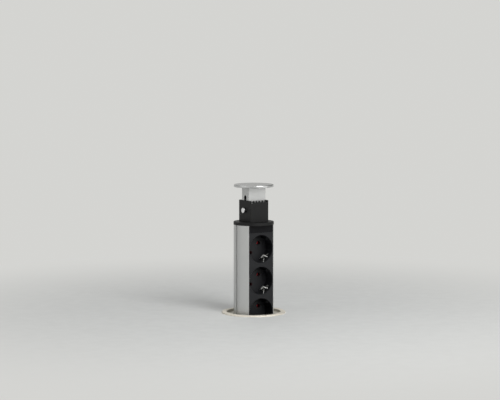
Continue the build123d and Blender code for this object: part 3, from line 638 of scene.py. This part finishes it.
# %% Clip leaves
leaf_width = 2.0 * mm
leaf_tip_share = 0.4
leaf_foot_depth = 17.2 * mm
leaf_tip_depth = 5.0 * mm
leaf_foot_radius = 18.0 * mm
leaf_tip_radius = 18.7 * mm
leaf_bulge = 4.1 * mm
leaf_peak_power = 1.5
leaf_peak_skew = 1.25
leaf_foot_turn = math.radians(-13)
leaf_tip_turn = math.radians(3)


def leaf_radius(share):
    """Distance of the leaf from the well's axis, from its foot to its tip."""
    bulge = leaf_bulge * math.sin(math.pi * share ** leaf_peak_skew) ** leaf_peak_power
    return between(leaf_foot_radius, leaf_tip_radius, share) - bulge


def clip_leaf(name, height, angle, way):
    """One bulging leaf at an angle round the axis of a well. Its foot stands a little to one side."""
    edges = []
    for share in strip_shares():
        turn = angle + way * (leaf_foot_turn * (1 - share) ** 2 + leaf_tip_turn * share ** 2)
        depth = between(leaf_foot_depth, leaf_tip_depth, share)
        radius = leaf_radius(share)
        half_turn = leaf_width / 2 * between(1, leaf_tip_share, share) / radius
        edges.append((well_point(height, turn - half_turn, radius, depth),
                      well_point(height, turn + half_turn, radius, depth),
                      away_from_axis(turn) * clip_sheet))
    return strip_piece(name, edges)


print("Leaf bulges to", round(leaf_radius(0.5) / mm, 1), "mm from the axis")

# %% Clip wings
wing_turn = math.radians(-14)
wing_root_share = 0.35
wing_root_radius = 14.2 * mm
wing_end_radius = 15.8 * mm
wing_root_depth = 10.4 * mm
wing_end_depth = 13.2 * mm
wing_rise = 1.1 * mm
wing_lean = 1.5 * mm


def clip_wing(name, height, angle, way):
    """The wing that leads a plug in, from the top of the leaf to one side. It is narrow at its root."""
    edges = []
    for share in strip_shares():
        turn = angle + way * wing_turn * share
        radius = between(wing_root_radius, wing_end_radius, share)
        depth = between(wing_root_depth, wing_end_depth, share)
        breadth = between(wing_root_share, 1, share)
        rise, lean = wing_rise * breadth, wing_lean * breadth
        backwards = (away_from_axis(turn) * wing_lean + Vector((0, wing_rise, 0))).normalized()
        edges.append((well_point(height, turn, radius, depth),
                      well_point(height, turn, radius + rise, depth - lean),
                      backwards * clip_sheet))
    return strip_piece(name, edges)


print("Wing spans", round(-math.degrees(wing_turn)), "degrees")

# %% Clip tabs, and every clip
tab_width = 1.6 * mm
tab_tip_share = 0.6
tab_root_radius = 17.4 * mm
tab_tip_radius = 19.0 * mm
tab_root_depth = 7.5 * mm
tab_tip_depth = 1.2 * mm
tab_root_turn = math.radians(-13)
tab_tip_turn = math.radians(-31)


def clip_tab(name, height, angle, way):
    """The tab, which carries on from a finger of the frame and runs along the wall towards the rim."""
    edges = []
    for share in strip_shares():
        turn = angle + way * between(tab_root_turn, tab_tip_turn, share)
        depth = between(tab_root_depth, tab_tip_depth, share)
        radius = between(tab_root_radius, tab_tip_radius, share)
        half_turn = tab_width / 2 * between(1, tab_tip_share, share) / radius
        edges.append((well_point(height, turn - half_turn, radius, depth),
                      well_point(height, turn + half_turn, radius, depth),
                      away_from_axis(turn) * clip_sheet))
    return strip_piece(name, edges)


clip_sides = (("low", math.radians(-45), 1), ("high", math.radians(135), -1))
clip_strips = []
for number in (1, 2, 3):
    shutter_low, shutter_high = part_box(f"shutter_{number}")
    well_height = (shutter_low.z + shutter_high.z) / 2
    for side, angle, way in clip_sides:
        for part, make in (("leaf", clip_leaf), ("wing", clip_wing), ("tab", clip_tab)):
            clip_strips.append(make(f"clip_{part}_{number}_{side}", well_height, angle, way))
print(len(clip_strips), "strips on", len(clip_sides) * 3, "clips")

# %% [markdown]
# ## The button's spring
# A coil round the button's stem pushes the button back out. As the button goes in, the coil gets
# shorter until its turns meet. It is a tube swept along a helix by two angles, one along the coil
# and one round the wire. Its pressed length is worked out, but the coil keeps its rest shape here.

# %% Coil spring
spring_wire = 0.3 * mm
spring_turns = 1.75
spring_steps = 84
wire_sides = 8
spring_low, spring_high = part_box("button_spring")
spring_length = spring_high.x - spring_low.x
coil_radius = (spring_high.y - spring_low.y - spring_wire) / 2
coil_middle = (spring_low + spring_high) / 2
button_travel = 1.1 * mm
pressed_spare = 0.02 * mm


def press_spring(name):
    """The coil, from the collar's face outwards, with both wire ends closed."""
    points, faces = [], []
    for step in range(spring_steps + 1):
        share = step / spring_steps
        angle = 2 * math.pi * spring_turns * share
        outwards = Vector((0, math.sin(angle), math.cos(angle)))
        start = spring_high.x - spring_wire / 2 - (spring_length - spring_wire) * share
        middle = Vector((start, coil_middle.y, coil_middle.z)) + outwards * coil_radius
        for side in range(wire_sides):
            round_wire = 2 * math.pi * side / wire_sides
            offset = outwards * math.cos(round_wire) + Vector((math.sin(round_wire), 0, 0))
            points.append(middle + offset * spring_wire / 2)
    for step in range(spring_steps):
        for side in range(wire_sides):
            beside = (side + 1) % wire_sides
            low, high = step * wire_sides, (step + 1) * wire_sides
            faces.append((low + side, low + beside, high + beside, high + side))
    last = spring_steps * wire_sides
    faces += [tuple(reversed(range(wire_sides))), tuple(range(last, last + wire_sides))]
    return mesh_object(name, points, faces)


spring_slot = record_slots["button_spring"]
coil_spring = press_spring("coil_spring")
coil_spring.data.materials.append(finishes[spring_slot])
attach(coil_spring, "tower")
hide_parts("button_spring")
pressed_share = (spring_length - button_travel - pressed_spare) / spring_length
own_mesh(coil_spring)
pressed_length = spring_length * pressed_share
print("Spring", round(spring_length / mm, 2), "mm, pressed", round(pressed_length / mm, 2), "mm")

# %% [markdown]
# ## Screw drives
# Each screw head has a cross recess for the screwdriver. The recess is cut by a cross of two thin
# bars that a Boolean modifier takes away. The bars themselves are hidden, and they ride along
# with the screws they cut.

# %% Cross recesses
drive_reach = 1.7 * mm
drive_width = 0.6 * mm
drive_depth = 0.9 * mm


def cross_points(x, y, height):
    """Corners and faces of two crossed bars centred on a point."""
    points, faces = [], []
    for half_x, half_y in ((drive_reach, drive_width / 2), (drive_width / 2, drive_reach)):
        base = len(points)
        for dz in (-drive_depth, drive_depth):
            for side_x, side_y in ((-1, -1), (1, -1), (1, 1), (-1, 1)):
                points.append((x + side_x * half_x, y + side_y * half_y, height + dz))
        sides = ((0, 3, 2, 1), (4, 5, 6, 7), (0, 1, 5, 4), (1, 2, 6, 5), (2, 3, 7, 6), (3, 0, 4, 7))
        faces += [tuple(base + corner for corner in side) for side in sides]
    return points, faces


def cut_drives(node, body, centres, height):
    """Cuts a cross recess into every screw of a CAD piece."""
    points, faces = [], []
    for x, y in centres:
        more_points, more_faces = cross_points(x, y, height)
        faces += [tuple(len(points) + corner for corner in face) for face in more_faces]
        points += more_points
    cutter = mesh_object(node + "_drives", points, faces)
    cutter.hide_render = True
    cutter.hide_viewport = True
    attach(cutter, body)
    cut = nodes[node].modifiers.new("drive", "BOOLEAN")
    cut.operation = "DIFFERENCE"
    cut.solver = "EXACT"
    cut.use_self = True
    cut.object = cutter
    return cutter


def places_on_circle(radius, angles):
    """Points on a circle round the Z axis, at angles in degrees."""
    return [(radius * math.cos(math.radians(angle)), radius * math.sin(math.radians(angle)))
            for angle in angles]


channel_circle = 24.33 * mm
channel_angles = (22, 68, 112, 158)
channel_places = places_on_circle(channel_circle, channel_angles)
seat_places = places_on_circle(screw_circle, screw_angles)
cut_drives("cap_screws", "tower", channel_places, top_of("cap_screws"))
cut_drives("bottom_screws", "tower", channel_places, bottom_of("bottom_screws"))
cut_drives("sleeve_screws", "mount", seat_places, bottom_of("sleeve_screws"))
print("Cut", 2 * len(channel_places) + len(seat_places), "recesses")

# %% [markdown]
# ## The worktop
# The tower stands in a hole in a worktop, so the stage is one pale slab with a round hole as wide
# as the sleeve needs. It isn't part of the object, and it is plain, so that nothing distracts
# from the tower. It is as thin as the nut's highest place allows, so that the nut stays in sight
# wherever it is turned to. Far from the tower the camera and glossy surfaces see the slab in the
# backdrop's own colour, so that no horizon shows. The rest of the light still meets the slab,
# which keeps the tower's shadow.

# %% Stage
worktop_radius = 4.0
worktop_hole = 40.0 * mm
worktop_thickness = 9.9 * mm
rest_gap = 0.02 * mm
rim_points = 128
hole_points = 96
worktop_circles = [(worktop_radius, 0, 0, rim_points), (worktop_hole, 0, 0, hole_points)]
worktop_bottom = -worktop_thickness - rest_gap
worktop = flat_shape("worktop", worktop_circles, worktop_bottom, worktop_thickness)
near_radius = 0.12
far_radius = 0.7
worktop_finish = grained_finish("worktop", (0.66, 0.67, 0.66), 0, 0.7, 3 * mm, 4e-6, spread=0.05)
stage_tree = worktop_finish.node_tree
stage_nodes = stage_tree.nodes
stage_links = stage_tree.links
stage_place = stage_nodes.new("ShaderNodeTexCoord")
stage_radius = stage_nodes.new("ShaderNodeVectorMath")
stage_radius.operation = "LENGTH"
stage_share = stage_nodes.new("ShaderNodeMapRange")
stage_share.interpolation_type = "SMOOTHSTEP"
stage_share.inputs["From Min"].default_value = near_radius
stage_share.inputs["From Max"].default_value = far_radius
stage_glow = stage_nodes.new("ShaderNodeEmission")
stage_glow.inputs["Color"].default_value = backdrop_colour
stage_choice = stage_nodes.new("ShaderNodeMixShader")
stage_links.new(stage_place.outputs["Object"], stage_radius.inputs[0])
stage_links.new(stage_radius.outputs["Value"], stage_share.inputs["Value"])
stage_blend = combined(stage_tree, "MULTIPLY", stage_share.outputs["Result"], sees_backdrop(stage_tree))
stage_links.new(stage_blend, stage_choice.inputs["Fac"])
stage_links.new(stage_nodes["Principled BSDF"].outputs["BSDF"], stage_choice.inputs[1])
stage_links.new(stage_glow.outputs["Emission"], stage_choice.inputs[2])
stage_links.new(stage_choice.outputs["Shader"], stage_nodes["Material Output"].inputs["Surface"])
worktop.data.materials.append(worktop_finish)
print("Worktop hole", worktop_hole / mm * 2, "mm across")
